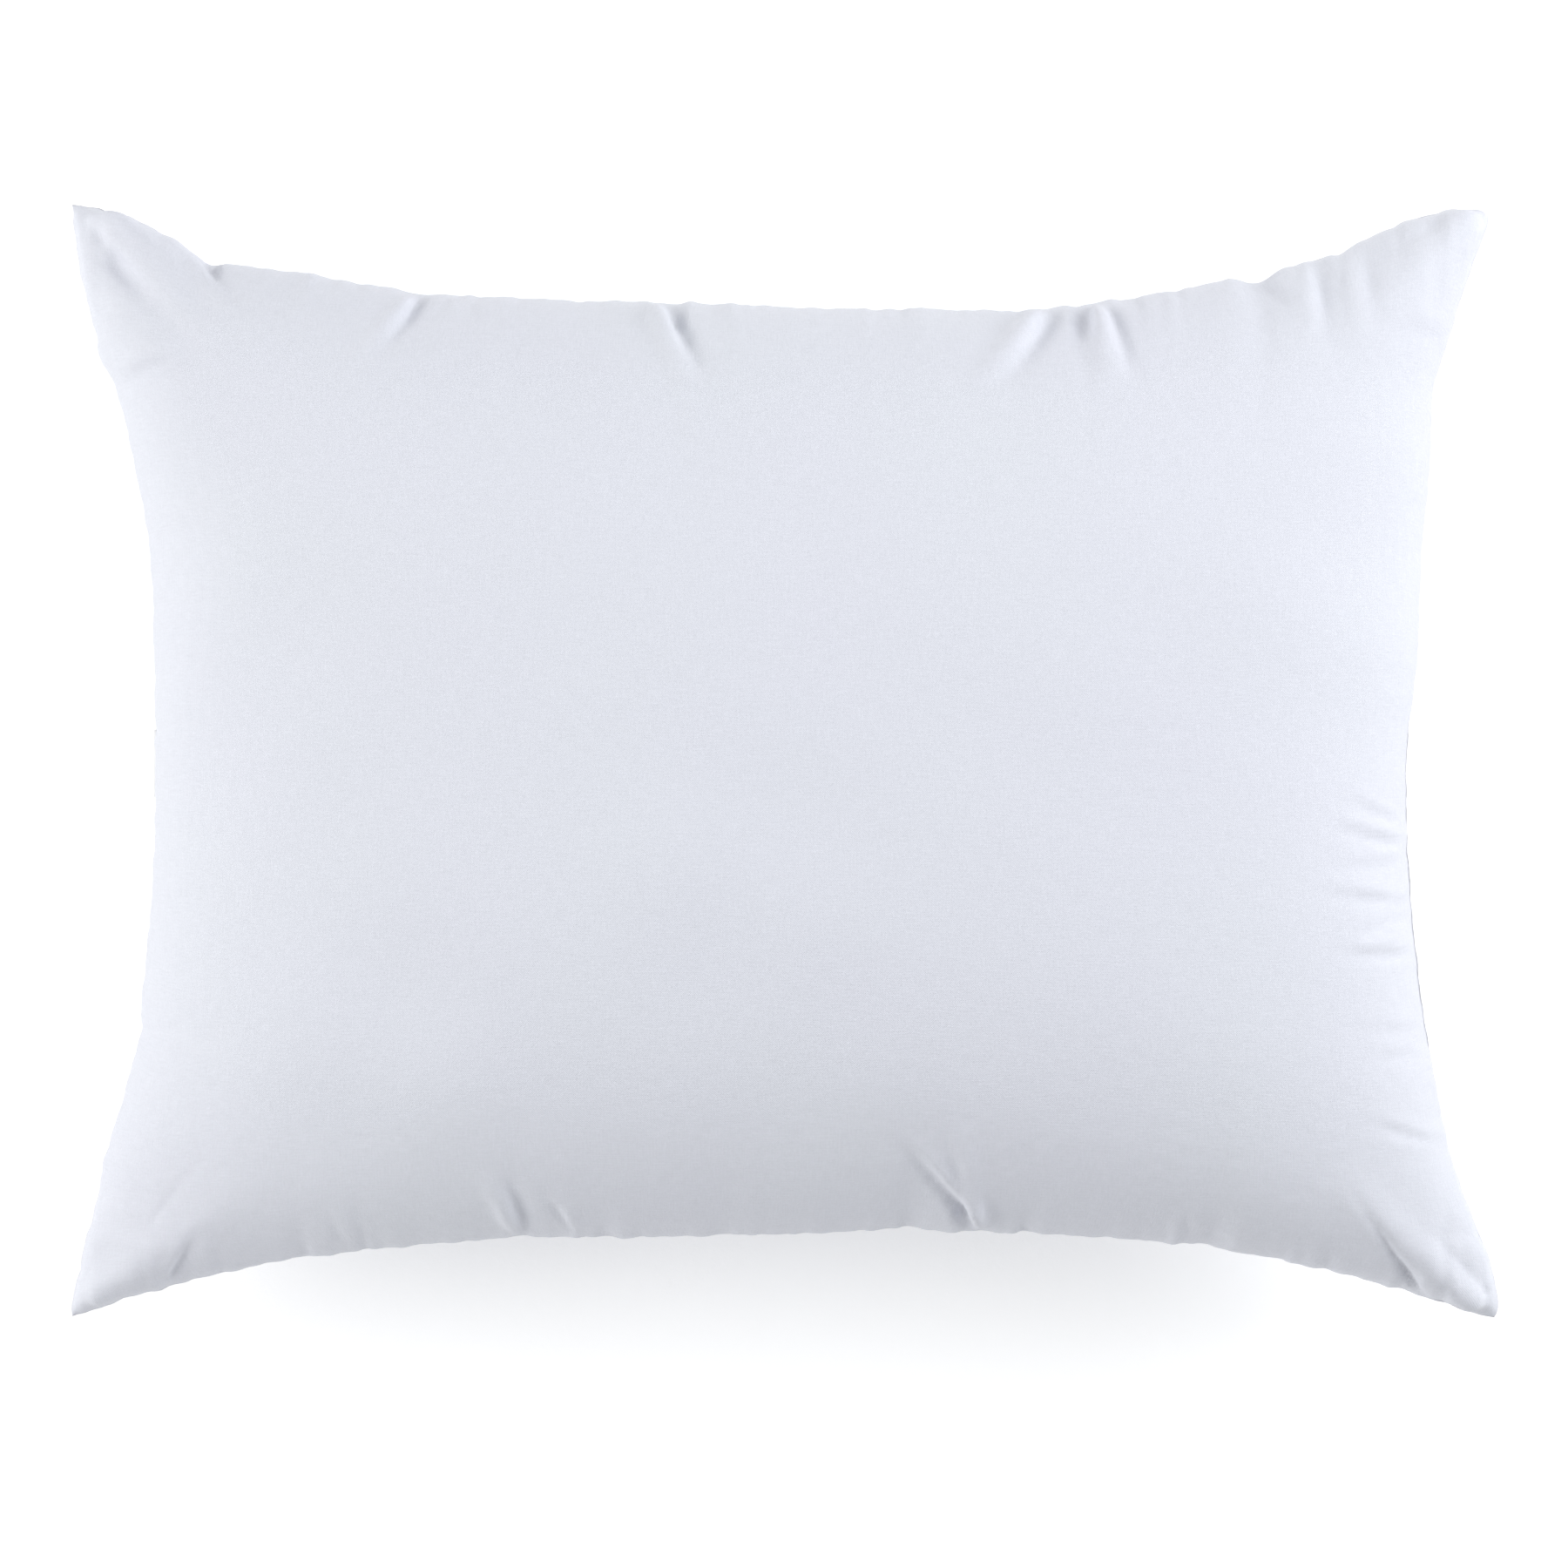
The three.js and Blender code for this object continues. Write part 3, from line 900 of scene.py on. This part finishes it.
def cottonPercale():
    # Cotton percale ticking: matt, a little fuzzy at grazing angles, with thin uneven yarns that
    # show as a faint upright grain and a soft crumple that is strongest beside the seams.
    material, tree, surface = startMaterial("cottonPercale", {
        "Roughness": 0.85, "Sheen Weight": 0.25, "Sheen Roughness": 0.5, "Specular IOR Level": 0.25})
    weave = addNode(tree, "UVMap", {"uv_map": "weave"}).outputs["UV"]
    place = addNode(tree, "TexCoord").outputs["Object"]
    near = addNode(tree, "Attribute", {"attribute_name": "nearSeam"}).outputs["Fac"]

    def noiseOn(where, scale, detail, stretch=(1, 1, 1)):
        # noise with features about 1/scale metres wide, drawn out along an axis by stretch
        spread = addNode(tree, "Mapping", {"Scale": stretch}, {"Vector": where}).outputs["Vector"]
        noise = addNode(tree, "TexNoise", {"Scale": scale, "Detail": detail}, {"Vector": spread})
        return noise.outputs["Fac"]

    drift = noiseOn(place, 9.0, 1.0)
    mottle = noiseOn(weave, 850.0, 2.0)
    yarnsUp = noiseOn(weave, 300.0, 2.0, (5.0, 0.4, 1))
    yarnsAcross = noiseOn(weave, 300.0, 2.0, (0.4, 5.0, 1))
    tint = addNode(tree, "Mix", {"data_type": "RGBA", 6: linear(percale["shade"]),
                                 7: linear(percale["other"])}, {0: drift})
    grain = addNode(tree, "Math", {"operation": "ADD"}, {0: yarnsUp, 1: yarnsAcross}).outputs[0]
    grain = addNode(tree, "Math", {"operation": "ADD"}, {0: grain, 1: mottle}).outputs[0]
    level = addNode(tree, "MapRange", {
        "From Min": 1.0, "From Max": 2.0, "To Min": 0.95, "To Max": 1.045}, {"Value": grain})
    colour = addNode(tree, "Mix", {"data_type": "RGBA", "blend_type": "MULTIPLY", 0: 1.0},
                     {6: tint.outputs[2], 7: level.outputs["Result"]})
    tree.links.new(colour.outputs[2], surface.inputs["Base Color"])

    split = addNode(tree, "SeparateXYZ", {}, {"Vector": weave})
    turns = 2 * np.pi / (percale["period"] * mm)
    waves = []
    for axis in ("X", "Y"):
        turned = addNode(tree, "Math", {"operation": "MULTIPLY", 1: turns}, {0: split.outputs[axis]})
        sine = addNode(tree, "Math", {"operation": "SINE"}, {0: turned.outputs[0]})
        waves.append(sine.outputs[0])
    checks = addNode(tree, "Math", {"operation": "MULTIPLY"}, {0: waves[0], 1: waves[1]})

    crumple = addNode(tree, "Math", {"operation": "MULTIPLY_ADD", 1: 0.5}, {
        0: noiseOn(place, 42.0, 2.0), 2: noiseOn(place, 110.0, 3.0)}).outputs[0]
    crumpled = addNode(tree, "MapRange", {"To Min": 0.25, "To Max": 1.0}, {"Value": near})
    above = {"Strength": crumpled.outputs["Result"]}
    for height, depth in ((crumple, "crumpleDepth"), (grain, "slubDepth"),
                          (checks.outputs[0], "weaveDepth")):
        bump = addNode(tree, "Bump", {"Distance": percale[depth] * mm}, {"Height": height, **above})
        above = {"Normal": bump.outputs["Normal"]}
    tree.links.new(bump.outputs["Normal"], surface.inputs["Normal"])
    return material


def fibreFilling():
    # Polyester fibre filling: loose white fibres, dull, with a tangled surface.
    material, tree, surface = startMaterial("polyesterFibre", {
        "Roughness": 0.9, "Sheen Weight": 0.4, "Sheen Roughness": 0.4, "Base Color": linear("e2e3e4")})
    place = addNode(tree, "TexCoord").outputs["Object"]
    bent = addNode(tree, "TexNoise", {"Scale": 60.0, "Detail": 2.0}, {"Vector": place}).outputs["Color"]
    mixed = addNode(tree, "VectorMath", {"operation": "MULTIPLY_ADD", 1: (0.03, 0.03, 0.03)},
                    {0: bent, 2: place}).outputs[0]
    tangle = addNode(tree, "TexNoise", {"Scale": 420.0, "Detail": 5.0}, {"Vector": mixed})
    addBump(tree, surface, tangle.outputs["Fac"], 1.5)
    return material


def spunThread():
    # Spun polyester sewing thread: white, slightly glossier than the cloth, with a fine twist.
    material, tree, surface = startMaterial("spunThread", {
        "Roughness": 0.6, "Sheen Weight": 0.2, "Base Color": linear("e8e8ea")})
    place = addNode(tree, "TexCoord").outputs["Object"]
    twist = addNode(tree, "TexNoise", {"Scale": 3000.0, "Detail": 2.0}, {"Vector": place})
    addBump(tree, surface, twist.outputs["Fac"], 0.08)
    return material


def satinRibbon():
    # Woven satin ribbon: smooth and brighter than the ticking, with fine ribs across its length.
    material, tree, surface = startMaterial("satinRibbon", {
        "Roughness": 0.38, "Sheen Weight": 0.1, "Base Color": linear("eeeeef")})
    weave = addNode(tree, "UVMap", {"uv_map": "weave"}).outputs["UV"]
    split = addNode(tree, "SeparateXYZ", {}, {"Vector": weave})
    turns = {"operation": "MULTIPLY", 1: 2 * np.pi / (0.4 * mm)}     # a rib each 0.4 mm
    turned = addNode(tree, "Math", turns, {0: split.outputs["X"]})
    ribs = addNode(tree, "Math", {"operation": "SINE"}, {0: turned.outputs[0]})
    addBump(tree, surface, ribs.outputs[0], 0.02)
    return material


def paperFloor():
    # White studio paper: it glows a little, so that the shadow on it stays faint.
    material, tree, surface = startMaterial("paperFloor", {
        "Roughness": 0.95, "Base Color": linear("fafafa"),
        "Emission Color": (1, 1, 1, 1), "Emission Strength": 0.2})
    place = addNode(tree, "TexCoord").outputs["Object"]
    tooth = addNode(tree, "TexNoise", {"Scale": 300.0, "Detail": 2.0}, {"Vector": place})
    addBump(tree, surface, tooth.outputs["Fac"], 0.1)
    return material


ticking, thread = cottonPercale(), spunThread()
for piece, material in ((frontPanel, ticking), (backPanel, ticking), (fibreFill, fibreFilling()),
                        (seamStitches, thread), (overlockLoops, thread), (closingStitches, thread),
                        (careLabel, satinRibbon())):
    piece.data.materials.append(material)
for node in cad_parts.values():    # the hidden CAD solids wear the cloth too
    node.data.materials.clear()
    node.data.materials.append(ticking)
print("materials made")

# Soft studio light: name, place, size, power in watts and colour, all aimed at the pillow.
lights = [
    ("right", (1.6, 0.6, 1.2), (1.4, 1.4), 29, (0.98, 0.99, 1.0)),
    ("left", (-1.6, 0.0, 1.2), (1.4, 1.4), 23, (1.0, 1.0, 0.98)),
]
worldGlow = 0.44
floorHalf = 4.0


def addLights():
    for name, place, size, power, colour in lights:
        data = bpy.data.lights.new(name, "AREA")
        data.shape, data.size, data.size_y = "RECTANGLE", *size
        data.energy, data.color = power, colour
        lamp = bpy.data.objects.new(name, data)
        lamp.location = place
        towards = Vector((0, 0, seamZ)) - Vector(place)
        lamp.rotation_euler = towards.to_track_quat("-Z", "Y").to_euler()
        bpy.context.collection.objects.link(lamp)
    world = bpy.data.worlds.new("world")
    world.use_nodes = True
    glow = world.node_tree.nodes["Background"].inputs
    glow["Color"].default_value, glow["Strength"].default_value = (0.97, 0.98, 1.0, 1), worldGlow
    bpy.context.scene.world = world
    bpy.context.scene.view_settings.view_transform = "Standard"


def addFloor():
    ids = np.arange(4).reshape(2, 2)
    corners = np.array([[-1, -1, 0], [-1, 1, 0], [1, -1, 0], [1, 1, 0]]) * floorHalf
    floor = makeMesh("floor", corners, quadsOf(ids))
    floor.data.materials.append(paperFloor())


addFloor()
addLights()
print("stage and lights set")
